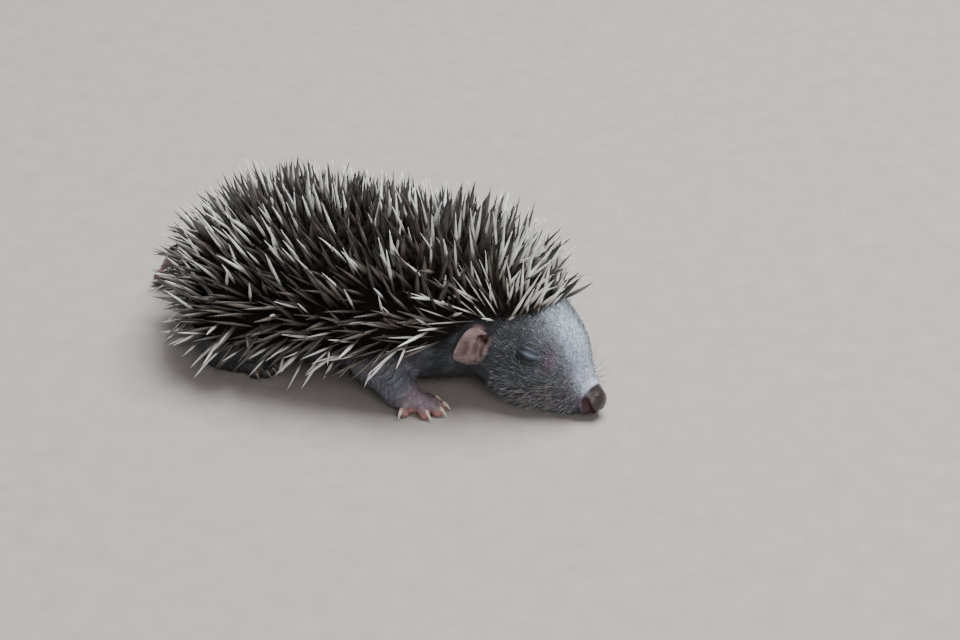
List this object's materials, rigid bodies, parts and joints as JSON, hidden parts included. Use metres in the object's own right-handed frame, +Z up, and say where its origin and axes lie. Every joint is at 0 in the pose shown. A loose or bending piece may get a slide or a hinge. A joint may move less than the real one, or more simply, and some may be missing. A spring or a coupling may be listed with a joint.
{
  "type": "young hedgehog model",
  "caption": "Life-size still model of a blind hedgehog hoglet lying on its belly with its chin on the floor and its spines half raised.",
  "frame": {"origin": "point on the floor under the middle of the belly", "axes": "+X forward along the trunk, +Y to the animal's left, +Z up"},
  "size_m": [0.1186, 0.0617, 0.0434],
  "materials": {
    "skin": "matt blue-grey skin with fine wrinkles and sparse pale hair",
    "paw_skin": "pink to blue-grey skin, slightly moist",
    "ear_skin": "thin pink-mauve skin",
    "eyelid": "dark blue-grey closed lids, slightly glossy",
    "nose": "moist dark grey-brown",
    "claw": "translucent cream keratin",
    "spines": "smooth dark brown keratin spines among white ones, semi-gloss"
  },
  "bodies": {
    "root": {"trunk": "skin", "neck": "skin", "head": "skin", "jaw": "skin", "foreleg_right": "skin", "hindleg_right": "skin", "foreleg_left": "skin", "hindleg_left": "skin", "tail": "paw_skin", "fore_right_paw": "paw_skin", "hind_right_paw": "paw_skin", "fore_left_paw": "paw_skin", "hind_left_paw": "paw_skin", "ear_right": "ear_skin", "ear_left": "ear_skin", "eye_right": "eyelid", "eye_left": "eyelid", "nose": "nose", "fore_right_claw_1": "claw", "fore_right_claw_2": "claw", "fore_right_claw_3": "claw", "fore_right_claw_4": "claw", "fore_right_claw_5": "claw", "fore_left_claw_1": "claw", "fore_left_claw_2": "claw", "fore_left_claw_3": "claw", "fore_left_claw_4": "claw", "fore_left_claw_5": "claw", "hind_right_claw_1": "claw", "hind_right_claw_2": "claw", "hind_right_claw_3": "claw", "hind_right_claw_4": "claw", "hind_right_claw_5": "claw", "hind_left_claw_1": "claw", "hind_left_claw_2": "claw", "hind_left_claw_3": "claw", "hind_left_claw_4": "claw", "hind_left_claw_5": "claw", "mantle_rump": "spines", "mantle_back": "spines", "mantle_crown": "spines"}
  },
  "joints": []
}
